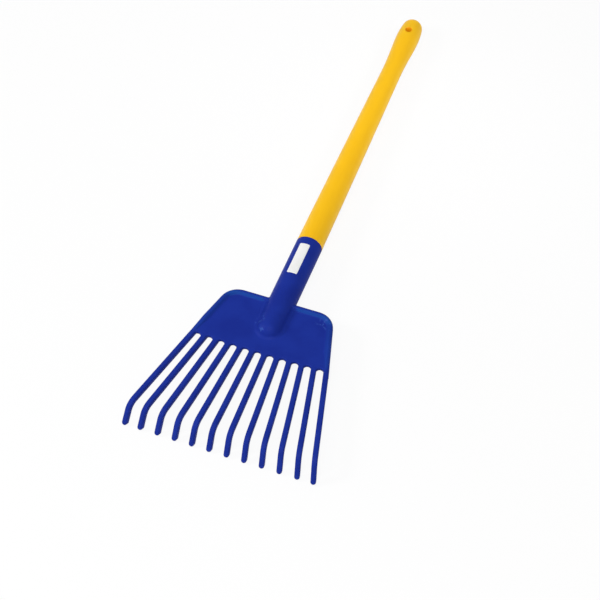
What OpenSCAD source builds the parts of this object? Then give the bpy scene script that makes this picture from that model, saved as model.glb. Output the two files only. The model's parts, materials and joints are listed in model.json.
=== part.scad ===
// Long-handled sand rake: a moulded fan head with bent tines, on a turned and lacquered handle.
// X runs across the fan, Y runs along the handle with the tines towards -Y, and Z is up.
// Inside the modules, y is measured from the line of the tines' roots and z from the handle's axis.

/* [Handle] */
// Diameter at the shoulder, which is also the socket's outer diameter
handle_d = 30; // [29:0.5:31]
// Visible length, from the socket's mouth to the round end
handle_len = 383; // [340:1:440]
// Diameter at the waist of the grip
waist_d = 23.7; // [22:0.1:25]
// Diameter of the swell near the end
swell_d = 28; // [26:0.1:30]
// Length of the tenon inside the socket
tenon_len = 88; // [60:1:100]
// Diameter of the hang hole
hang_hole_d = 8; // [5:0.1:9]
// Distance from the middle of the hang hole to the handle's end
hang_hole_inset = 28; // [22:0.5:34]

/* [Socket] */
// Length of the socket above the plate's top edge
socket_len = 86.1; // [80:0.1:95]
// Wall thickness at the socket's mouth
socket_wall = 3; // [2.5:0.1:3.5]
// Gap between the round nose and the line of the roots
nose_gap = 19.7; // [17:0.1:22]
// Diameter of the round nose
nose_d = 28.6; // [26:0.1:28.8]

/* [Plate] */
// Length from the line of the roots to the top edge
plate_len = 71.4; // [68:0.1:80]
// Half of the width on the line of the roots
plate_half_w = 79; // [78.9:0.1:79.5]
// Angle of the sides
side_angle = 15.3; // [14.5:0.1:16]
// Thickness of the web
plate_t = 3.6; // [3:0.1:4]
// Height of the web's upper face above the handle's axis
plate_top = 2.9; // [2:0.1:3]
// Radius of the top corners
corner_r = 21; // [16:0.5:24]
// Height of the rim above the web
rim_h = 3; // [2.4:0.1:3.4]

/* [Tines] */
// Distance between tines on the line of the roots
tine_pitch = 13.78; // [13.7:0.01:13.8]
// Growth of that distance for each millimetre down the fan
tine_spread = 0.0467; // [0.045:0.0001:0.049]
// Angle that the outermost tines lean out by
outer_lean = 13.6; // [13.2:0.1:14]
// Width of a tine
tine_w = 5.9; // [5.5:0.1:6]
// Depth of a tine
tine_depth = 6.8; // [6.2:0.1:7.4]
// Distance from the line of the roots to the corner of the bend, along the upper faces
tine_reach = 105.6; // [95:0.1:112]
// Length of the bent-over end, from that corner to the tip
tip_len = 28.4; // [27:0.1:32]
// Angle that the ends are bent over by
bend_angle = 63; // [56:1:68]
// Radius of the bend at the middle of the tine
bend_r = 13; // [11:0.5:18]

/* [Label] */
// Length of the sticker along the socket
label_len = 43.2; // [36:0.2:48]
// Width of the sticker
label_w = 11.4; // [9:0.1:14]
// Angle that it sits off the socket's upper line by
label_turn = -3.5; // [-10:0.5:10]

/* [Hidden] */

$fn = 64;
eps = 0.01;

// Runs that follow each other overlap by a short lap, and the later one is a hair slimmer
lap = 0.5;
slim = 0.03;

// Twelve tines stand half a pitch either side of the middle, with eleven slots between them
half_tines = 6;
last_slot = half_tines - 1;
outer_index = half_tines - 0.5;

// Section of a tine, whose upper face carries on just below that of the plate
tine_corner_r = 1.8;
tine_sink = 0.15;
tine_top = plate_top - tine_sink;
tine_mid = tine_top - tine_depth / 2;
plate_bottom = plate_top - plate_t;
root_run = 34;
root_sink = 0.2;

// The bend's corner on the tine's middle line, and the straight run that is left beyond the arc
bend_tangent = bend_r * tan(bend_angle / 2);
corner_shift = tine_depth / 2 * tan(bend_angle / 2);
mid_reach = tine_reach - corner_shift;
tip_run = tip_len - corner_shift - bend_tangent - tine_w / 2;

// Slots
slot_ease = 0.1;
slot_r = (tine_pitch - tine_w) / 2 + slot_ease;
slot_base = 1.6;
slot_rise = 1.7;
slot_past = 4;
slot_edge_r = 1.5;
slot_edge_ease = 0.05;
slot_edge_past = 12;
web_end = -slot_r;

// The web thins out over the tines' roots, so that they rise from it with no step
web_fade_y = 1;
web_drop = 0.34;
web_fade = atan(web_drop / (web_fade_y - web_end));

// Plate outline: a circle in each top corner touches the top edge and the side
corner_y = plate_len - corner_r;
corner_x = plate_half_w - (corner_r + corner_y * sin(side_angle)) / cos(side_angle);
side_dir = [cos(side_angle), sin(side_angle)];
side_touch = [corner_x, corner_y] + corner_r * side_dir;

// Rim section: a rounded bead along the edge, and a hollow foot between it and the web
rim_bead_r = 3.2;
rim_foot_r = 4;
rim_drop = 0.3;
rim_sink = 0.08;
rim_ease = 0.02;
rim_fall = rim_foot_r - rim_sink - rim_h + rim_bead_r;
rim_w = rim_bead_r + sqrt(pow(rim_foot_r + rim_bead_r, 2) - pow(rim_fall, 2));
rim_mid = [-2, plate_top - plate_t / 2];
corner_slim = 0.985;
web_inset = 1.5;

// Down its last run the rim dips to the outermost tine
dip_len = 30;
dip_slim = 0.995;
dip_lap = 0.1;

// Socket, which tapers on the plate to a round nose
socket_r = handle_d / 2;
mouth_y = plate_len + socket_len;
mouth_round = 1.2;
nose_r = nose_d / 2;
nose_y = nose_gap + nose_r;
nose_run = 26.5;
taper_y = nose_y + nose_run;
nose_taper = acos(nose_r / norm([socket_r, nose_run])) - atan2(nose_run, socket_r);
nose_touch = [nose_r * cos(nose_taper), nose_y - nose_r * sin(nose_taper)];
bore_r = socket_r - socket_wall;
bore_draft = 0.5;
bore_bevel = 3;
bore_inset = 4;
bore_end = nose_y + bore_inset;

// Coves that blend the socket into both faces of the plate
front_cove_r = 6.5;
back_cove_r = 3;
cove_sink = 0.6;
cove_ease = 0.08;
cove_gap = 0.3;

// Handle profile
taper_power = 1.15;
swell_power = 1.3;
end_drop = 1.6;
end_run = 21;
end_slope = atan(2 * end_drop / end_run);
handle_end = mouth_y + handle_len;
dome_r = (swell_d / 2 - end_drop) / cos(end_slope);
dome_y = handle_end - dome_r;
swell_y = dome_y + dome_r * sin(end_slope) - end_run;
grip_run = 66;
waist_y = swell_y - grip_run;
shoulder_round = 0.6;
tenon_gap = 0.15;
tenon_bevel = 2;
hang_hole_y = handle_end - hang_hole_inset;
hang_hole_chamfer = 0.8;
chamfer_h = 2;

// Fixing screw, driven upwards through the socket's back into the tenon
screw_inset = 40;
screw_y = mouth_y - screw_inset;
screw_d = 4;
screw_head_d = 8.2;
screw_head_h = 2.1;
screw_len = 16;
screw_tip = 4;
screw_point_d = 0.6;
screw_gap = 0.1;
screw_sink = 0.8;
screw_seat = screw_sink - socket_r;

// Label
label_t = 0.2;
label_gap = 0.02;
label_inset = 32.4;
label_y = mouth_y - label_inset;
label_corner_r = 1.2;

// The part stands on the tips of its tines, with the origin below the middle of its length
tip_round = [tip_len - corner_shift - tine_corner_r, tine_depth / 2 - tine_corner_r];
ground_z = tine_mid - tip_round[0] * sin(bend_angle) - tip_round[1] * cos(bend_angle) - tine_corner_r;
front_y = -mid_reach - tip_round[0] * cos(bend_angle) - tip_round[1] * sin(bend_angle) - tine_corner_r;
mid_y = (front_y + handle_end) / 2;

// Goes smoothly from 0 to 1
function ease(t) = (1 - cos(180 * t)) / 2;

// Distance between tines at a height y
function pitch_at(y) = tine_pitch - tine_spread * y;

// Lean of a tine, which never passes that of the outermost ones
function lean(index) = sign(index) * min(atan(tine_spread * abs(index)), outer_lean);

// Height of the end of a slot: the row of ends is a shallow arc
function slot_end(index) = slot_base + slot_rise * pow(index / last_slot, 2);

// Radius of the handle above the socket
function taper_r(t) = socket_r - (socket_r - waist_d / 2) * pow(t, taper_power);
function swell_r(t) = waist_d / 2 + (swell_d - waist_d) / 2 * ease(pow(t, swell_power));
function end_r(t) = swell_d / 2 - end_drop * pow(t, 2);

// Middle of a cove of radius r that touches a round wall and a face at a level above the axis
function cove_mid(wall_r, level, r) = [sqrt(pow(wall_r + r, 2) - pow(level + r, 2)), level + r];

module place() {
    translate([0, -mid_y, -ground_z]) children();
}

// Turns a profile, given as radius and height, about the handle's axis
module turned() {
    rotate([-90, 0, 0]) rotate_extrude($fn = 96) children();
}

// Runs a section, given across the fan and upwards, towards -Y
module run(length) {
    rotate([90, 0, 0]) linear_extrude(length) children();
}

module both_sides() {
    children();
    mirror([1, 0, 0]) children();
}

module rounded_rect(w, h, r) {
    square([w - 2 * r, h], center = true);
    square([w, h - 2 * r], center = true);
    for (x = [-1, 1], y = [-1, 1]) translate([x * (w / 2 - r), y * (h / 2 - r)]) circle(r);
}

// Section of a tine, drawn in by an inset
module tine_section(inset = 0) {
    rounded_rect(tine_w - 2 * inset, tine_depth - 2 * inset, tine_corner_r - inset);
}

// Side view of a tine's root, which lies in the plate, and whose underside runs out as a rib
module root_side() {
    rib_fall = (plate_bottom + root_sink - tine_top + tine_depth) / root_run;
    polygon([
        [-lap, tine_top],
        [root_run, plate_top - root_sink],
        [root_run, plate_bottom + root_sink],
        [-lap, tine_top - tine_depth - lap * rib_fall]
    ]);
}

module tine_root() {
    intersection() {
        translate([0, root_run + lap, tine_mid]) run(root_run + 2 * lap) tine_section(slim);
        rotate([90, 0, 90]) translate([0, 0, -tine_w]) linear_extrude(2 * tine_w) root_side();
    }
}

// Round end of a tine: half of the section, turned about its own depth
module tine_tip() {
    rotate_extrude() intersection() {
        tine_section(3 * slim);
        translate([0, -tine_depth]) square(2 * tine_depth);
    }
}

// A tine carries on from a rib under the plate, which under the rim runs beside the edge
module tine(index) {
    straight = mid_reach / cos(lean(index)) - bend_tangent;
    root_lean = abs(index) < outer_index ? lean(index) : sign(index) * side_angle;
    translate([index * tine_pitch, 0, 0]) rotate(root_lean) tine_root();
    translate([index * tine_pitch, 0, 0]) rotate(lean(index)) {
        translate([0, 0, tine_mid]) run(straight + lap) tine_section();
        translate([0, -straight, tine_mid - bend_r]) {
            rotate([180, -90, 0]) rotate_extrude(angle = bend_angle)
                translate([bend_r, 0]) rotate(90) tine_section(slim);
            rotate([bend_angle, 0, 0]) translate([0, 0, bend_r]) {
                translate([0, lap, 0]) run(tip_run + lap) tine_section(2 * slim);
                translate([0, -tip_run, 0]) tine_tip();
            }
        }
    }
}

module tines() {
    for (index = [-outer_index : 1 : outer_index]) tine(index);
}

// Upper end of a slot: a round end, and sides that follow the two tines
module slot_mouth(index) {
    top = slot_end(index) - slot_r;
    bottom = web_end - slot_past;
    half_gap = [for (y = [top, bottom]) (pitch_at(y) - tine_w) / 2 + slot_ease];
    translate([index * pitch_at(top), top]) circle(slot_r);
    polygon([
        [index * pitch_at(top) - half_gap[0], top],
        [index * pitch_at(top) + half_gap[0], top],
        [index * pitch_at(bottom) + half_gap[1], bottom],
        [index * pitch_at(bottom) - half_gap[1], bottom]
    ]);
}

// What a rounded edge takes off beside a wall at x
module edge_section(x) {
    round_mid = [x + slot_edge_r - slot_edge_ease, plate_top - slot_edge_r + slot_edge_ease];
    difference() {
        translate([x - slot_edge_r, plate_top - slot_edge_r])
            square([2 * slot_edge_r - slot_edge_ease, 2 * slot_edge_r]);
        translate(round_mid) circle(slot_edge_r);
    }
}

// Rounding of a slot's upper edge, round its end and down both of its sides
module slot_edge(index) {
    top = slot_end(index) - slot_r;
    half_gap = (pitch_at(top) - tine_w) / 2 + slot_ease;
    translate([index * pitch_at(top), top, 0]) {
        rotate(-slot_edge_past) rotate_extrude(angle = 180 + 2 * slot_edge_past) edge_section(slot_r);
        for (side = [0, 1]) mirror([side, 0, 0]) {
            turn = lean(side == 0 ? index + 0.5 : 0.5 - index);
            rotate(turn) translate([0, lap, 0]) run(slot_past + lap) edge_section(half_gap * cos(turn));
        }
    }
}

// Half of the web, whose edge lies inside the rim
module plate_half() {
    foot_w = plate_half_w - web_end * tan(side_angle) - web_inset / cos(side_angle);
    translate([corner_x, corner_y]) circle(corner_r - web_inset);
    polygon([
        [-lap, web_end],
        [foot_w, web_end],
        side_touch - web_inset * side_dir,
        [corner_x, corner_y],
        [corner_x, plate_len - web_inset],
        [-lap, plate_len - web_inset]
    ]);
}

module web() {
    difference() {
        translate([0, 0, plate_bottom]) linear_extrude(plate_t) both_sides() plate_half();
        translate([0, web_fade_y, plate_top]) rotate([web_fade, 0, 0])
            translate([-plate_half_w * 2, -plate_len, 0]) cube([plate_half_w * 4, plate_len, plate_t]);
    }
}

// Section of the rim, whose outer face is at x = 0
module rim_section(size = 1) {
    bead = [-rim_bead_r, plate_top + rim_h - rim_bead_r];
    foot = [-rim_w, plate_top + rim_foot_r - rim_sink];
    translate(rim_mid) scale(size) translate(-rim_mid) {
        translate(bead) circle(rim_bead_r);
        difference() {
            polygon([
                [0, plate_bottom - rim_drop],
                [0, bead[1]],
                bead,
                foot,
                [-rim_w, plate_bottom - rim_drop]
            ]);
            translate(foot) circle(rim_foot_r + rim_ease);
        }
    }
}

// Rim down one side, which dips to the outermost tine, and round the corner above it
module side_rim() {
    side_len = (side_touch[1] - web_end) / cos(side_angle);
    level_len = side_len - dip_len;
    dip_angle = atan((rim_h + web_drop) / dip_len);
    crest_z = plate_top + rim_h;
    translate(side_touch) rotate(side_angle) {
        translate([0, lap, 0]) run(level_len + lap) rim_section();
        intersection() {
            translate([0, -level_len, crest_z]) rotate([dip_angle, 0, 0]) translate([0, dip_lap, -crest_z])
                run(2 * dip_len) rim_section(dip_slim);
            translate([-2 * rim_w, -side_len, plate_bottom - rim_drop + slim])
                cube([3 * rim_w, 2 * dip_len, 2 * crest_z]);
        }
    }
    translate([corner_x, corner_y]) rotate(side_angle) rotate_extrude(angle = 90 - side_angle)
        translate([corner_r, 0]) rim_section(corner_slim);
}

module rim() {
    both_sides() side_rim();
    translate([-corner_x - lap, plate_len, 0]) rotate(90) run(2 * (corner_x + lap)) rim_section();
}

// Web and rim, with the slots cut through both
module plate() {
    difference() {
        union() {
            web();
            rim();
        }
        for (index = [-last_slot : last_slot])
            translate([0, 0, plate_bottom - plate_t]) linear_extrude(3 * plate_t) slot_mouth(index);
        for (index = [-last_slot : last_slot]) slot_edge(index);
    }
}

// Outside of the socket, from the round nose on the plate to the mouth
module socket_profile() {
    intersection() {
        translate([0, nose_y]) circle(nose_r);
        translate([0, nose_y - nose_r]) square(nose_r);
    }
    translate([socket_r - mouth_round, mouth_y - mouth_round]) circle(mouth_round);
    polygon([
        [0, nose_touch[1]],
        nose_touch,
        [socket_r, taper_y],
        [socket_r, mouth_y - mouth_round],
        [socket_r - mouth_round, mouth_y],
        [0, mouth_y]
    ]);
}

module bore_profile() {
    polygon([
        [0, bore_end],
        [bore_r - bore_draft - bore_bevel, bore_end],
        [bore_r - bore_draft, bore_end + bore_bevel],
        [bore_r, mouth_y + eps],
        [0, mouth_y + eps]
    ]);
}

// Hollow corner between a round wall and a flat face, whose two edges run a hair into both
module cove_section(wall_r, level, r, ease_by) {
    mid = cove_mid(wall_r, level, r);
    touch = mid * wall_r / (wall_r + r);
    difference() {
        polygon([
            [touch[0] - 2 * cove_sink, level - cove_sink],
            [mid[0], level - cove_sink],
            mid,
            touch * (1 - cove_sink / wall_r)
        ]);
        translate(mid) circle(r + ease_by);
    }
}

// Cove along the socket, down its taper and round its nose, on the face at a level above the axis
module coves(level, r) {
    wide = cove_mid(socket_r, level, r)[0];
    narrow = cove_mid(nose_r, level, r)[0];
    taper_foot = [narrow * cos(nose_taper), nose_y - narrow * sin(nose_taper)];
    taper_run = [wide, taper_y] - taper_foot;
    taper_lean = atan2(taper_run[0], taper_run[1]);
    taper_len = norm(taper_run);
    both_sides() {
        translate([0, plate_len - cove_gap, 0])
            run(plate_len - cove_gap - taper_y + lap) cove_section(socket_r, level, r, cove_ease);
        translate(taper_foot) rotate(-taper_lean) translate([-narrow, taper_len, 0])
            run(taper_len + lap) cove_section(nose_r, level, r, 1.5 * cove_ease);
    }
    translate([0, nose_y]) rotate(180 + nose_taper) rotate_extrude(angle = 180 - 2 * nose_taper)
        cove_section(nose_r, level, r, 2 * cove_ease);
}

// Hollow that the screw's head and shank pass through
module screw_passage() {
    translate([0, screw_y, screw_seat]) {
        translate([0, 0, -socket_wall]) cylinder(h = socket_wall + eps, d = screw_head_d + 2 * screw_gap);
        cylinder(h = screw_head_h, d1 = screw_head_d + 2 * screw_gap, d2 = screw_d + 2 * screw_gap);
        cylinder(h = 2 * socket_wall, d = screw_d + 2 * screw_gap);
    }
}

// Moulded head: plate, rim, tines and socket in one piece
module rake_head() {
    color("mediumblue") place() difference() {
        union() {
            plate();
            tines();
            turned() socket_profile();
            coves(plate_top, front_cove_r);
            mirror([0, 0, 1]) coves(-plate_bottom, back_cove_r);
        }
        turned() bore_profile();
        screw_passage();
    }
}

// Half section of the handle, from the end of the tenon to the round end
module handle_profile() {
    tenon_end = mouth_y - tenon_len;
    tenon_r = bore_r - tenon_gap;
    thin_r = tenon_r - bore_draft * tenon_len / (mouth_y - bore_end);
    translate([0, dome_y]) intersection() {
        circle(dome_r);
        square(2 * dome_r);
    }
    polygon(concat(
        [[0, tenon_end], [thin_r - tenon_bevel, tenon_end], [thin_r, tenon_end + tenon_bevel]],
        [[tenon_r, mouth_y], [socket_r - shoulder_round, mouth_y], [socket_r, mouth_y + shoulder_round]],
        [for (t = [0.05 : 0.05 : 1]) [taper_r(t), mouth_y + t * (waist_y - mouth_y)]],
        [for (t = [0.05 : 0.05 : 1]) [swell_r(t), waist_y + t * (swell_y - waist_y)]],
        [for (t = [0.1 : 0.1 : 1]) [end_r(t), swell_y + t * end_run]],
        [[0, swell_y + end_run]]
    ));
}

module hang_hole() {
    translate([0, hang_hole_y, 0]) {
        cylinder(h = 2 * handle_d, d = hang_hole_d, center = true);
        for (side = [0, 1]) mirror([0, 0, side]) translate([0, 0, swell_d / 2 - hang_hole_chamfer])
            cylinder(h = chamfer_h, d1 = hang_hole_d, d2 = hang_hole_d + 2 * chamfer_h);
    }
}

// Turned stick with its tenon, hang hole and the screw's pilot hole
module handle() {
    color("gold") place() difference() {
        turned() handle_profile();
        hang_hole();
        translate([0, screw_y, screw_seat]) cylinder(h = screw_len + 1, d = screw_d + screw_gap);
    }
}

module fixing_screw() {
    color("silver") place() translate([0, screw_y, screw_seat]) {
        cylinder(h = screw_head_h, d1 = screw_head_d, d2 = screw_d);
        cylinder(h = screw_len - screw_tip, d = screw_d);
        translate([0, 0, screw_len - screw_tip]) cylinder(h = screw_tip, d1 = screw_d, d2 = screw_point_d);
    }
}

// Sticker that follows the round of the socket
module label() {
    inner = socket_r + label_gap;
    color("white") place() translate([0, label_y, 0]) rotate([0, label_turn, 0]) intersection() {
        difference() {
            rotate([90, 0, 0]) cylinder(h = 2 * label_len, r = inner + label_t, center = true, $fn = 96);
            rotate([90, 0, 0]) cylinder(h = 3 * label_len, r = inner, center = true, $fn = 96);
        }
        linear_extrude(2 * socket_r) rounded_rect(label_w, label_len, label_corner_r);
    }
}

rake_head();
handle();
fixing_screw();
label();
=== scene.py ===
"""Looks of a sand rake: a moulded blue head on a turned, yellow lacquered handle.

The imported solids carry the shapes. This script gives each of them its finish, cuts the fixing screw's thread
and drive, and sets up the studio. Sizes are in metres.
"""

from __future__ import annotations

import json
import logging
import math
from dataclasses import dataclass
from enum import Enum

import bpy
import numpy as np
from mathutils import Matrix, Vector


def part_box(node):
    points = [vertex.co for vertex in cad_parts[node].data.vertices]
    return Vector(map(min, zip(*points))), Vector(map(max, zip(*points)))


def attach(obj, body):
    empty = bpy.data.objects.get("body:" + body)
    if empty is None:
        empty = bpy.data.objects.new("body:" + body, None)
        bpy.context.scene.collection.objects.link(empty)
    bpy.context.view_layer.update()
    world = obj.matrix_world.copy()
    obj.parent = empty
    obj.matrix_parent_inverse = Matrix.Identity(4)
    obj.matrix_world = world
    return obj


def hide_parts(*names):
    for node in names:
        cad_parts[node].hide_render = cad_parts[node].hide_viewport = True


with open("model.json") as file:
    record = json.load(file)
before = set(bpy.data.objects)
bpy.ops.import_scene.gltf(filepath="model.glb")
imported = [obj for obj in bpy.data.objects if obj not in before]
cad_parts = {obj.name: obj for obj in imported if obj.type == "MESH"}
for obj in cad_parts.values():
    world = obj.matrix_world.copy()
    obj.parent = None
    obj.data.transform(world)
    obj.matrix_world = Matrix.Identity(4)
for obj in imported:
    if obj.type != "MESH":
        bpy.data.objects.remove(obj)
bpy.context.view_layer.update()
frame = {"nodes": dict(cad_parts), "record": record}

log = logging.getLogger("sand_rake")

MM = 0.001
FINISH = "_finish"
Triple = tuple[float, float, float]
Colour = Triple
Socket = bpy.types.NodeSocket


class Slot(str, Enum):
    """The record's material slots."""

    HEAD = "head_plastic"
    HANDLE = "handle_lacquer"
    SCREW = "screw_steel"
    LABEL = "label_vinyl"


@dataclass(frozen=True)
class Datum:
    """Places on the rake that the finishes and the studio are set out from.

    Attributes:
        axis_z: height of the handle's axis.
        root_y: place of the line of the tines' roots.
        end_y: place of the handle's round end.
        hole_y: place of the hang hole.
        hole_r: radius of that hole.
    """

    axis_z: float
    root_y: float
    end_y: float
    hole_y: float
    hole_r: float

    HEAD_LEN = 157.5 * MM

    @classmethod
    def from_solids(cls) -> Datum:
        """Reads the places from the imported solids.

        Returns:
            The places, in the part's own frame.
        """
        handle_low, handle_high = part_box("handle")
        mouth_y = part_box("rake_head")[1].y
        hole = frame["record"]["mounts"][0]
        return cls(
            axis_z=(handle_low.z + handle_high.z) / 2,
            root_y=mouth_y - cls.HEAD_LEN,
            end_y=handle_high.y,
            hole_y=hole["pos_m"][1],
            hole_r=hole["dims"]["r_mm"] * MM,
        )


class Graph:
    """A material's node tree, built from a few plain steps."""

    def __init__(self, name: str) -> None:
        """Starts an empty tree.

        Args:
            name: the material's name.
        """
        self.material = bpy.data.materials.new(name)
        self.material.use_nodes = True
        self.tree = self.material.node_tree
        self.tree.nodes.clear()
        self.output = self.tree.nodes.new("ShaderNodeOutputMaterial")

    def node(self, kind: str, **settings: object) -> bpy.types.Node:
        """Adds a node.

        Args:
            kind: the node's type, without its common prefix.
            **settings: attributes of the node.

        Returns:
            The new node.
        """
        made = self.tree.nodes.new("ShaderNode" + kind)
        for name, value in settings.items():
            setattr(made, name, value)
        return made

    def feed(self, socket: Socket, value: object) -> None:
        """Links a socket to another, or sets its value.

        Args:
            socket: the input to fill.
            value: an output socket, or a plain value.
        """
        if isinstance(value, bpy.types.NodeSocket):
            self.tree.links.new(value, socket)
        elif value is not None:
            socket.default_value = value

    def place(self, scale: Triple = (1, 1, 1)) -> Socket:
        """Gives the point on the part, stretched along its axes.

        Args:
            scale: factor along X, Y and Z.

        Returns:
            The vector output.
        """
        point = self.node("TexCoord").outputs["Object"]
        if tuple(scale) == (1, 1, 1):
            return point
        stretch = self.node("VectorMath", operation="MULTIPLY")
        self.feed(stretch.inputs[0], point)
        self.feed(stretch.inputs[1], scale)
        return stretch.outputs[0]

    def noise(self, point: Socket, scale: float, detail: float = 3.0, rough: float = 0.5) -> Socket:
        """Adds soft noise.

        Args:
            point: where it is read.
            scale: waves for each metre.
            detail: layers of finer noise.
            rough: strength of those layers.

        Returns:
            The noise, about 0.5.
        """
        made = self.node("TexNoise")
        self.feed(made.inputs["Vector"], point)
        self.feed(made.inputs["Scale"], scale)
        self.feed(made.inputs["Detail"], detail)
        self.feed(made.inputs["Roughness"], rough)
        return made.outputs["Fac"]

    def math(self, operation: str, first: object, second: object = None) -> Socket:
        """Adds a sum, product or other step on numbers.

        Args:
            operation: the name of the step.
            first: its first number.
            second: its second number, where it has one.

        Returns:
            The result.
        """
        made = self.node("Math", operation=operation)
        self.feed(made.inputs[0], first)
        self.feed(made.inputs[1], second)
        return made.outputs[0]

    def span(
        self, value: Socket, low: float, high: float, to_low: float = 0.0, to_high: float = 1.0
    ) -> Socket:
        """Maps a number smoothly from one range to another, with both ends held.

        Args:
            value: the number.
            low: start of its range.
            high: end of its range.
            to_low: result at the start.
            to_high: result at the end.

        Returns:
            The mapped number.
        """
        made = self.node("MapRange", interpolation_type="SMOOTHSTEP")
        self.feed(made.inputs["Value"], value)
        for name, bound in zip(("From Min", "From Max", "To Min", "To Max"), (low, high, to_low, to_high)):
            self.feed(made.inputs[name], bound)
        return made.outputs["Result"]

    def blend(self, share: Socket, first: object, second: object) -> Socket:
        """Mixes two colours.

        Args:
            share: how much of the second one shows.
            first: a colour, or the output of one.
            second: a colour, or the output of one.

        Returns:
            The mixed colour.
        """
        made = self.node("Mix", data_type="RGBA")
        self.feed(made.inputs["Factor"], share)
        for name, value in (("A", first), ("B", second)):
            socket = next(s for s in made.inputs if s.name == name and s.type == "RGBA")
            self.feed(socket, (*value, 1.0) if isinstance(value, tuple) else value)
        return next(s for s in made.outputs if s.type == "RGBA")

    def soft_edges(self, radius: float) -> tuple[Socket, Socket]:
        """Rounds the surface's shading at its edges.

        Args:
            radius: how far the rounding reaches.

        Returns:
            The rounded normal, and how far it turns from the surface's own: 0 on open faces, 1 along edges.
        """
        made = self.node("Bevel", samples=6)
        self.feed(made.inputs["Radius"], radius)
        alike = self.node("VectorMath", operation="DOT_PRODUCT")
        self.feed(alike.inputs[0], made.outputs["Normal"])
        self.feed(alike.inputs[1], self.node("NewGeometry").outputs["Normal"])
        return made.outputs["Normal"], self.span(alike.outputs["Value"], 0.8, 0.995, 1.0, 0.0)

    def bump(self, height: Socket, depth: float, strength: float, normal: Socket | None = None) -> Socket:
        """Raises the surface's shading by a height.

        Args:
            height: the height, from 0 to 1.
            depth: real size of that height.
            strength: share of it that shows.
            normal: the normal that it stands on, where that isn't the mesh's own.

        Returns:
            The new normal.
        """
        made = self.node("Bump")
        self.feed(made.inputs["Strength"], strength)
        self.feed(made.inputs["Distance"], depth)
        self.feed(made.inputs["Height"], height)
        self.feed(made.inputs["Normal"], normal)
        return made.outputs["Normal"]

    def shade(self, **values: object) -> bpy.types.Material:
        """Ends the tree with the surface's shader.

        Args:
            **values: the shader's inputs, with underscores for spaces.

        Returns:
            The finished material.
        """
        shader = self.node("BsdfPrincipled")
        for name, value in values.items():
            self.feed(shader.inputs[name.replace("_", " ")], value)
        self.feed(self.output.inputs["Surface"], shader.outputs[0])
        return self.material


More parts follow.
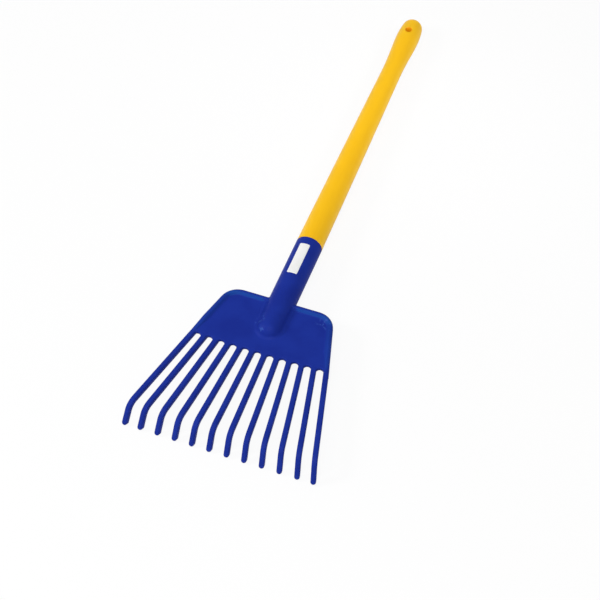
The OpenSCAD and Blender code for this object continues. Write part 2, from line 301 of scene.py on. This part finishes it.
@dataclass(frozen=True)
class MouldedPlastic:
    """Satin blue plastic from a lightly textured mould.

    Attributes:
        datum: places on the rake.
        body: colour of most of the surface.
        deep: colour of its darker clouds.
        painted_highlight: paler cyan colour painted along edges and on the rim's bead, as a highlight.
        scuff_and_glint: colour of scuffs, rub marks and worn tips, and of the glints painted on the nose.

    The bead's values say where the painted highlight lies on the rim: by height over the axis, by distance
    from the middle, and by distance from the line of the roots. Each spot of the glints and rubs has a place,
    from that line
    and the axis, and a reach: the two on the nose are painted glints, the one by the plate's corner a rub
    mark.
    """

    datum: Datum
    body: Colour = (0.013, 0.034, 0.318)
    deep: Colour = (0.011, 0.028, 0.283)
    # Painted highlight: paler cyan for the edges and the rim's bead.
    painted_highlight: Colour = (0.012, 0.066, 0.36)
    scuff_and_glint: Colour = (0.035, 0.085, 0.42)

    TEXTURE_PITCH = 0.35 * MM
    CLOUD_WAVES = 45
    PATCH_WAVES = 90
    RIPPLE_WAVES = 70
    SCRATCH_WAVES = 900
    TIP_WAVES = 420
    SPOT_WAVES = 240
    ROUGH = (0.40, 0.47)
    RUBBED_ROUGHER = 0.12
    TIP_WEAR_H = 9 * MM
    SEAM_HALF_W = 0.22 * MM
    EDGE_R = 1.5 * MM
    BEAD_RISE = (2.95 * MM, 4.0 * MM)
    BEAD_ASIDE = (15.5 * MM, 22 * MM)
    BEAD_TOP_Y = (56 * MM, 63 * MM)
    BEAD_OUTER_Y = (65.5 * MM, 69.0 * MM)
    BEAD_SIDE_SHARE = 0.3
    # Spots: the first two, on the nose, are painted glints; the third, by the plate's corner, is a rub mark.
    GLINTS_AND_RUBS = (
        ((-5 * MM, 25 * MM, 10 * MM), 7 * MM),
        ((-12 * MM, 38 * MM, 8 * MM), 10 * MM),
        ((53 * MM, 59 * MM, 3 * MM), 11 * MM),
    )

    def material(self) -> bpy.types.Material:
        """Builds the material: clouds, a painted highlight along edges and on the rim's bead, mould texture, a
        seam line, scuffs, a rub mark, painted glints on the nose and worn tips.
        """
        graph = Graph(Slot.HEAD.value + FINISH)
        point = graph.place()
        along = graph.node("SeparateXYZ")
        graph.feed(along.inputs[0], point)
        rounded, edge = graph.soft_edges(self.EDGE_R)
        clouds = graph.span(graph.noise(point, self.CLOUD_WAVES, 4), 0.35, 0.7)
        grain = graph.noise(point, 1 / self.TEXTURE_PITCH, 2)
        colour = graph.blend(clouds, self.body, self.deep)
        patchy = graph.span(graph.noise(point, self.PATCH_WAVES, 3), 0.3, 0.7, 0.35, 0.8)
        # Painted highlight: edges are painted paler and cyan, in patches.
        colour = graph.blend(graph.math("MULTIPLY", edge, patchy), colour, self.painted_highlight)
        rise = graph.math("SUBTRACT", along.outputs["Z"], self.datum.axis_z)
        aside = graph.span(graph.math("ABSOLUTE", along.outputs["X"]), *self.BEAD_ASIDE)
        from_root = graph.math("SUBTRACT", along.outputs["Y"], self.datum.root_y)
        top = graph.math(
            "MULTIPLY",
            graph.span(from_root, *self.BEAD_TOP_Y, self.BEAD_SIDE_SHARE, 1.0),
            graph.span(from_root, *self.BEAD_OUTER_Y, 1.0, 0.0),
        )
        # Painted highlight: the rim's bead is painted paler and cyan, fully along the front of the top and
        # less on the sides.
        bead = graph.math("MULTIPLY", graph.span(rise, *self.BEAD_RISE), aside)
        colour = graph.blend(graph.math("MULTIPLY", bead, top), colour, self.painted_highlight)
        scratches = graph.noise(graph.place((1, 0.12, 1)), self.SCRATCH_WAVES, 3, 0.6)
        scratches = graph.span(scratches, 0.66, 0.8)
        low = graph.span(along.outputs["Z"], 0.0, self.TIP_WEAR_H, 1.0, 0.0)
        worn = graph.span(graph.noise(point, self.TIP_WAVES, 3, 0.7), 0.5, 0.75)
        wear_and_glint = graph.math("MULTIPLY", low, worn)
        wear_and_glint = graph.math("MAXIMUM", wear_and_glint, graph.math("MULTIPLY", scratches, 0.35))
        spots = graph.span(graph.noise(point, self.SPOT_WAVES, 2, 0.6), 0.52, 0.66)
        # Painted glints on the nose come from the first two spots.
        for (x, y, z), reach in self.GLINTS_AND_RUBS:
            away = graph.node("VectorMath", operation="DISTANCE")
            graph.feed(away.inputs[0], point)
            graph.feed(away.inputs[1], (x, self.datum.root_y + y, self.datum.axis_z + z))
            near = graph.span(away.outputs["Value"], 0.3 * reach, reach, 1.0, 0.0)
            wear_and_glint = graph.math("MAXIMUM", wear_and_glint, graph.math("MULTIPLY", near, spots))
        # Scuffs, worn tips, the rub mark and the painted glints on the nose take the paler colour.
        colour = graph.blend(wear_and_glint, colour, self.scuff_and_glint)
        seam = graph.span(graph.math("ABSOLUTE", rise), 0.0, self.SEAM_HALF_W, 1.0, 0.0)
        above = graph.span(along.outputs["Y"], self.datum.root_y - 2 * MM, self.datum.root_y)
        seam = graph.math("MULTIPLY", seam, above)
        normal = graph.bump(graph.noise(point, self.RIPPLE_WAVES, 2), 0.5 * MM, 0.08, rounded)
        normal = graph.bump(seam, 0.12 * MM, 0.6, normal)
        normal = graph.bump(grain, 0.05 * MM, 0.25, normal)
        rough = graph.span(grain, 0.3, 0.7, *self.ROUGH)
        rough = graph.math("ADD", rough, graph.math("MULTIPLY", wear_and_glint, self.RUBBED_ROUGHER))
        return graph.shade(
            Base_Color=colour,
            Roughness=rough,
            Normal=normal,
            Specular_IOR_Level=0.04,
        )


@dataclass(frozen=True)
class Lacquer:
    """Yellow lacquer on turned wood, with the grain just showing through.

    Attributes:
        datum: places on the rake.
        body: colour of the lacquer.
        grain: colour over the darker lines of the wood.
        painted_hole_shade: deeper orange painted inside the hang hole as shade.
    """

    datum: Datum
    body: Colour = (0.925, 0.555, 0.008)
    grain: Colour = (0.905, 0.505, 0.005)
    # Painted shade for the inside of the hang hole.
    painted_hole_shade: Colour = (0.95, 0.42, 0.003)

    LINE_PITCH = 1.6 * MM
    LINE_LEN = 60 * MM

    def material(self) -> bpy.types.Material:
        """Builds the material: long grain lines, clouds, painted shade inside the hang hole and a clear top
        coat.
        """
        graph = Graph(Slot.HANDLE.value + FINISH)
        point = graph.place()
        along = graph.node("SeparateXYZ")
        graph.feed(along.inputs[0], point)
        stretch = graph.place((1 / self.LINE_PITCH, 1 / self.LINE_LEN, 1 / self.LINE_PITCH))
        lines = graph.span(graph.noise(stretch, 1.0, 4, 0.6), 0.42, 0.75)
        clouds = graph.span(graph.noise(point, 18, 3), 0.3, 0.75, 0.0, 0.5)
        share = graph.math("MULTIPLY", graph.math("ADD", lines, clouds), 0.35)
        colour = graph.blend(share, self.body, self.grain)
        # Painted shade: the inside of the hang hole is painted a deeper orange.
        aside = graph.math("SUBTRACT", along.outputs["Y"], self.datum.hole_y)
        from_hole = graph.math("SQRT", graph.math(
            "ADD", graph.math("POWER", along.outputs["X"], 2.0), graph.math("MULTIPLY", aside, aside)))
        inside = graph.span(from_hole, self.datum.hole_r + 0.1 * MM, self.datum.hole_r + 0.9 * MM, 1.0, 0.0)
        colour = graph.blend(inside, colour, self.painted_hole_shade)
        normal = graph.bump(lines, 0.08 * MM, 0.12)
        normal = graph.bump(graph.noise(point, 380, 2), 0.05 * MM, 0.12, normal)
        rough = graph.span(graph.noise(point, 60, 4), 0.3, 0.7, 0.34, 0.44)
        return graph.shade(
            Base_Color=colour,
            Roughness=rough,
            Normal=normal,
            Diffuse_Roughness=0.6,
            Specular_IOR_Level=0.14,
            Coat_Weight=0.05,
            Coat_Roughness=0.2,
        )


@dataclass(frozen=True)
class Vinyl:
    """Blank white sticker with a soft gloss.

    Attributes:
        face: colour of the sheet.
        dull: colour of its faintly greyer clouds.
    """

    face: Colour = (0.95, 0.95, 0.95)
    dull: Colour = (0.92, 0.92, 0.91)

    def material(self) -> bpy.types.Material:
        """Builds the material: faint clouds and the ripple of a slim sheet."""
        graph = Graph(Slot.LABEL.value + FINISH)
        point = graph.place()
        clouds = graph.span(graph.noise(point, 160, 3), 0.35, 0.75)
        normal = graph.bump(graph.noise(point, 240, 2), 0.06 * MM, 0.2)
        rough = graph.span(graph.noise(point, 700, 2), 0.3, 0.7, 0.34, 0.42)
        colour = graph.blend(clouds, self.face, self.dull)
        return graph.shade(Base_Color=colour, Roughness=rough, Normal=normal)


@dataclass(frozen=True)
class ZincSteel:
    """Bright zinc plating, with turning lines on the metal below it.

    Attributes:
        bright: colour of the plating.
        dull: colour of its cloudy patches.
    """

    bright: Colour = (0.66, 0.67, 0.69)
    dull: Colour = (0.48, 0.49, 0.52)

    def material(self) -> bpy.types.Material:
        """Builds the material: cloudy plating and fine scratches."""
        graph = Graph(Slot.SCREW.value + FINISH)
        point = graph.place()
        clouds = graph.span(graph.noise(point, 500, 4), 0.35, 0.7)
        scratches = graph.noise(graph.place((900, 9000, 900)), 1.0, 3)
        rough = graph.span(clouds, 0.0, 1.0, 0.26, 0.42)
        return graph.shade(
            Base_Color=graph.blend(clouds, self.bright, self.dull),
            Roughness=rough,
            Normal=graph.bump(scratches, 0.02 * MM, 0.3),
            Metallic=1.0,
        )


def way_back(azimuth: float, elevation: float) -> Vector:
    """Gives the direction from the part to a viewer or a light.

    Args:
        azimuth: turn about the part in radians, from straight in front of the tines.
        elevation: height above the horizon in radians.

    Returns:
        A vector one unit long.
    """
    flat = math.cos(elevation)
    return Vector((math.sin(azimuth) * flat, -math.cos(azimuth) * flat, math.sin(elevation)))


def smooth_step(value: np.ndarray) -> np.ndarray:
    """Goes from 0 to 1 as the value does, and is level at both ends: 3 t squared less 2 t cubed."""
    held = np.clip(value, 0.0, 1.0)
    return held * held * (3 - 2 * held)


def revolved_mesh(name: str, points: np.ndarray) -> bpy.types.Object:
    """Puts a round grid of points into a mesh.

    Each row of the grid is a closed ring, and each ring is joined to the next by four-sided faces. The first
    and the last ring each close on a point of their own, which is the ring's middle.

    Args:
        name: the object's name.
        points: array of rings, points on a ring, and coordinates.

    Returns:
        The new object, linked into the scene.
    """
    rings, sides = points.shape[:2]
    index = np.arange(rings * sides).reshape(rings, sides)
    after = np.roll(index, -1, axis=1)
    walls = np.stack([index[:-1], after[:-1], after[1:], index[1:]], axis=-1).reshape(-1, 4)
    ends = points[[0, -1]].mean(axis=1)
    first, last = rings * sides, rings * sides + 1
    start = np.stack([np.full(sides, first), after[0], index[0]], axis=-1)
    finish = np.stack([np.full(sides, last), index[-1], after[-1]], axis=-1)
    mesh = bpy.data.meshes.new(name)
    vertices = np.concatenate([points.reshape(-1, 3), ends])
    mesh.from_pydata(vertices.tolist(), [], walls.tolist() + start.tolist() + finish.tolist())
    mesh.polygons.foreach_set("use_smooth", np.ones(len(mesh.polygons), bool))
    mesh.update()
    made = bpy.data.objects.new(name, mesh)
    bpy.context.scene.collection.objects.link(made)
    return made


@dataclass
class RakeHead:
    """The moulded head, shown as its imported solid."""

    finish: MouldedPlastic

    def build(self) -> list[bpy.types.Object]:
        """Dresses the head.

        Returns:
            The head's pieces.
        """
        return [dress("rake_head", self.finish.material())]


@dataclass
class Handle:
    """The turned handle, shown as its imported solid."""

    finish: Lacquer

    def build(self) -> list[bpy.types.Object]:
        """Dresses the handle.

        Returns:
            The handle's pieces.
        """
        return [dress("handle", self.finish.material())]


@dataclass
class Label:
    """The blank sticker on the socket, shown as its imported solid."""

    finish: Vinyl

    def build(self) -> list[bpy.types.Object]:
        """Dresses the sticker.

        Returns:
            The sticker's pieces.
        """
        return [dress("label", self.finish.material())]


@dataclass
class FixingScrew:
    """Countersunk wood screw with a cross drive and a cut thread, which stands for the plain solid.

    Attributes:
        finish: the plating.
        shank_r: radius over the thread's crests.
        head_h: height of the countersunk head.
        point_len: length of the point.
        pitch: distance between the thread's turns.
        thread_h: depth of the thread.
        arm_r: reach of the drive's arms.
        arm_w: width of those arms.
        drive_h: depth of the drive.
    """

    finish: ZincSteel
    shank_r: float = 2.0 * MM
    head_h: float = 2.1 * MM
    point_len: float = 4.0 * MM
    pitch: float = 1.8 * MM
    thread_h: float = 0.55 * MM
    arm_r: float = 2.3 * MM
    arm_w: float = 1.15 * MM
    drive_h: float = 1.3 * MM

    SIDES = 96
    FACE_RINGS = 30
    CONE_RINGS = 7
    SHANK_RINGS = 90
    POINT_RINGS = 24
    FACE_START = 0.02
    POINT_END = 0.15
    THREAD_STEEPNESS = 1.4
    EDGE = 0.22 * MM

    def drive_depth(self, x: np.ndarray, y: np.ndarray) -> np.ndarray:
        """Gives the depth of the cross drive.

        Each arm is the product of two smooth steps, one along it and one across it, and the cross is the
        deeper of the two arms at each point.

        Args:
            x: place across the head.
            y: place along the handle.

        Returns:
            The depth at each point.
        """
        def arm(along: np.ndarray, across: np.ndarray) -> np.ndarray:
            """Shape of one arm, from 0 outside it to 1 along its floor."""
            reach = smooth_step((self.arm_r - np.abs(along)) / (4 * self.EDGE))
            return reach * smooth_step((self.arm_w / 2 - np.abs(across)) / self.EDGE + 0.5)

        return self.drive_h * np.maximum(arm(x, y), arm(y, x))

    def points(self, low: Vector, high: Vector) -> np.ndarray:
        """Works out the screw's surface.

        Rings run from the middle of the head's face out to its edge, up the countersink, along the shank and
        in to the point. The thread cuts into the shank by a wave of the height less the turn, and fades at
        both ends.

        Args:
            low: lowest corner of the plain solid.
            high: highest corner of the plain solid.

        Returns:
            Array of rings, points on a ring, and coordinates.
        """
        head_r = (high.x - low.x) / 2
        length = high.z - low.z
        shank_top = length - self.point_len
        radius = np.concatenate([
            np.linspace(self.FACE_START, 1.0, self.FACE_RINGS) * head_r,
            np.linspace(head_r, self.shank_r, self.CONE_RINGS)[1:],
            np.full(self.SHANK_RINGS, self.shank_r),
            np.linspace(self.shank_r, self.POINT_END * self.shank_r, self.POINT_RINGS)[1:],
        ])
        height = np.concatenate([
            np.zeros(self.FACE_RINGS),
            np.linspace(0.0, self.head_h, self.CONE_RINGS)[1:],
            np.linspace(self.head_h, shank_top, self.SHANK_RINGS + 1)[1:],
            np.linspace(shank_top, length, self.POINT_RINGS)[1:],
        ])
        turn = np.linspace(0.0, 2 * math.pi, self.SIDES, endpoint=False)
        ring_r, angle = np.meshgrid(radius, turn, indexing="ij")
        ring_z = np.repeat(height[:, None], self.SIDES, axis=1)
        wave = np.abs((ring_z / self.pitch - angle / (2 * math.pi)) % 1.0 - 0.5) * 2
        fade = smooth_step((ring_z - self.head_h) / self.pitch)
        fade = fade * smooth_step((length - ring_z) / self.point_len)
        ring_r = ring_r - self.thread_h * fade * smooth_step(wave * self.THREAD_STEEPNESS)
        x, y = ring_r * np.cos(angle), ring_r * np.sin(angle)
        on_face = (np.arange(len(radius)) < self.FACE_RINGS)[:, None]
        ring_z = ring_z + np.where(on_face, self.drive_depth(x, y), 0.0)
        middle = np.array([(low.x + high.x) / 2, (low.y + high.y) / 2, low.z])
        return np.stack([x, -y, ring_z], axis=-1) + middle

    def build(self) -> list[bpy.types.Object]:
        """Builds the screw in place of its plain solid.

        Returns:
            The screw's pieces.
        """
        screw = revolved_mesh("threaded_screw", self.points(*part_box("fixing_screw")))
        screw.data.materials.append(self.finish.material())
        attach(screw, "root")
        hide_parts("fixing_screw")
        return [screw]


def dress(node: str, material: bpy.types.Material) -> bpy.types.Object:
    """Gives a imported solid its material.

    Args:
        node: the solid's name.
        material: its finish.

    Returns:
        The solid's object.
    """
    solid = frame["nodes"][node]
    solid.data.materials.clear()
    solid.data.materials.append(material)
    return solid


@dataclass(frozen=True)
class SoftLight:
    """A square soft light that faces a place on the part.

    Attributes:
        name: its name.
        azimuth: turn about that place in degrees, from straight in front of the tines.
        elevation: height above the horizon in degrees.
        reach: distance from that place.
        size: side of the square.
        power: its power in watts.
        aim: the place that it faces.
        spread: angle in degrees that its light leaves by.
    """

    name: str
    azimuth: float
    elevation: float
    reach: float
    size: float
    power: float
    aim: Triple = (0.0, 0.0, 0.0)
    spread: float = 180.0

    def build(self) -> None:
        """Hangs the light."""
        data = bpy.data.lights.new(self.name, "AREA")
        data.size = self.size
        data.energy = self.power
        data.spread = math.radians(self.spread)
        back = way_back(math.radians(self.azimuth), math.radians(self.elevation))
        lamp = bpy.data.objects.new(self.name, data)
        lamp.location = Vector(self.aim) + back * self.reach
        lamp.rotation_mode = "QUATERNION"
        lamp.rotation_quaternion = (-back).to_track_quat("-Z", "Y")
        bpy.context.scene.collection.objects.link(lamp)


@dataclass
class Studio:
    """White floor, soft lights and the camera.

    Attributes:
        datum: places on the rake.
        azimuth: turn of the camera about the part, from straight in front of the tines.
        elevation: height of the camera above the horizon.
        lens: focal length for a sensor 36 mm wide.
        camera_from_root: the camera's place, from the middle of the line of the tines' roots.
        floor_half: half of the floor's width.
        swell_r: radius of the handle where it touches the floor.
        swell_from_end: distance of that place from the handle's end.
    """

    datum: Datum
    azimuth: float = math.radians(20.25)
    elevation: float = math.radians(52.266)
    lens: float = 96.0
    camera_from_root: Vector = Vector((0.381746, -0.907370, 1.363266))
    floor_half: float = 30.0
    swell_r: float = 14 * MM
    swell_from_end: float = 31.6 * MM

    AMBIENT = 0.36
    FLOOR_BOUNCE = 0.85
    FLOOR_SHADED = 0.09
    LIGHTS = (
        SoftLight("key_light", 14, 58, 2.2, 1.2, 22),
        SoftLight("side_light", -64, 36, 2.2, 0.5, 16.5),
        SoftLight("handle_light", 80, 45, 0.9, 0.3, 0.13, aim=(0.0, 0.20, 0.025), spread=38),
    )

    def camera(self) -> None:
        """Places the camera at the photograph's viewing angle."""
        data = bpy.data.cameras.new("camera")
        data.lens = self.lens
        data.sensor_width = 36.0
        data.clip_end = 100.0
        camera = bpy.data.objects.new("camera", data)
        back = way_back(self.azimuth, self.elevation)
        camera.rotation_mode = "QUATERNION"
        camera.rotation_quaternion = (-back).to_track_quat("-Z", "Y")
        camera.location = Vector((0, self.datum.root_y, self.datum.axis_z)) + self.camera_from_root
        bpy.context.scene.collection.objects.link(camera)
        bpy.context.scene.camera = camera

    def seen(self, graph: Graph) -> Socket:
        """Gives 1 where the camera, a reflection or a clear piece looks, and 0 where light is gathered."""
        path = graph.node("LightPath")
        looks = graph.math("MAXIMUM", path.outputs["Is Camera Ray"], path.outputs["Is Glossy Ray"])
        return graph.math("MAXIMUM", looks, path.outputs["Is Transmission Ray"])

    def floor(self) -> bpy.types.Object:
        """Lays the floor under the tips of the tines and the swell of the handle.

        Returns:
            The floor.
        """
        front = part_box("rake_head")[0]
        rest_y = self.datum.end_y - self.swell_from_end
        slope = (self.datum.axis_z - self.swell_r - front.z) / (rest_y - front.y)
        side = np.array([-self.floor_half, self.floor_half])
        x, y = np.meshgrid(side, side, indexing="ij")
        z = front.z + slope * (y - front.y)
        corners = np.stack([x, y, z], axis=-1).reshape(-1, 3)
        mesh = bpy.data.meshes.new("floor")
        mesh.from_pydata(corners.tolist(), [], [(0, 2, 3, 1)])
        floor = bpy.data.objects.new("floor", mesh)
        bpy.context.scene.collection.objects.link(floor)
        mesh.materials.append(self.floor_material())
        return floor

    def floor_material(self) -> bpy.types.Material:
        """White paper: it looks white where no shadow falls, and it bounces light as pale paper does."""
        graph = Graph("floor_paper")
        seen = self.seen(graph)
        shaded = graph.node("BsdfDiffuse")
        shade = graph.blend(seen, (self.FLOOR_BOUNCE,) * 3, (self.FLOOR_SHADED,) * 3)
        graph.feed(shaded.inputs["Color"], shade)
        glow = graph.node("Emission")
        graph.feed(glow.inputs["Strength"], graph.math("MULTIPLY", seen, 1 - self.FLOOR_SHADED))
        both = graph.node("AddShader")
        graph.feed(both.inputs[0], shaded.outputs[0])
        graph.feed(both.inputs[1], glow.outputs[0])
        graph.feed(graph.output.inputs["Surface"], both.outputs[0])
        return graph.material

    def world(self) -> None:
        """Surrounds the part with even light, which looks white."""
        world = bpy.data.worlds.new("studio")
        world.use_nodes = True
        bpy.context.scene.world = world
        tree = world.node_tree
        tree.nodes.clear()
        path = tree.nodes.new("ShaderNodeLightPath")
        looks = tree.nodes.new("ShaderNodeMath")
        looks.operation = "MAXIMUM"
        tree.links.new(path.outputs["Is Camera Ray"], looks.inputs[0])
        tree.links.new(path.outputs["Is Glossy Ray"], looks.inputs[1])
        clear = tree.nodes.new("ShaderNodeMath")
        clear.operation = "MAXIMUM"
        tree.links.new(looks.outputs[0], clear.inputs[0])
        tree.links.new(path.outputs["Is Transmission Ray"], clear.inputs[1])
        level = tree.nodes.new("ShaderNodeMapRange")
        level.inputs["To Min"].default_value = self.AMBIENT
        level.inputs["To Max"].default_value = 1.0
        tree.links.new(clear.outputs[0], level.inputs["Value"])
        background = tree.nodes.new("ShaderNodeBackground")
        tree.links.new(level.outputs["Result"], background.inputs["Strength"])
        output = tree.nodes.new("ShaderNodeOutputWorld")
        tree.links.new(background.outputs[0], output.inputs["Surface"])

    def build(self) -> None:
        """Sets up the floor, the lights and the camera."""
        self.floor()
        self.world()
        for light in self.LIGHTS:
            light.build()
        self.camera()
        bpy.context.scene.view_settings.view_transform = "Standard"


def main() -> None:
    """Builds the rake's pieces in order, reports each of them, and sets up the studio."""
    logging.basicConfig(level=logging.INFO, format="%(name)s: %(message)s")
    datum = Datum.from_solids()
    for piece in (
        RakeHead(MouldedPlastic(datum)),
        Handle(Lacquer(datum)),
        FixingScrew(ZincSteel()),
        Label(Vinyl()),
    ):
        for made in piece.build():
            log.info("%s built with %d faces", made.name, len(made.data.polygons))
    Studio(datum).build()


if __name__ == "__main__":
    main()
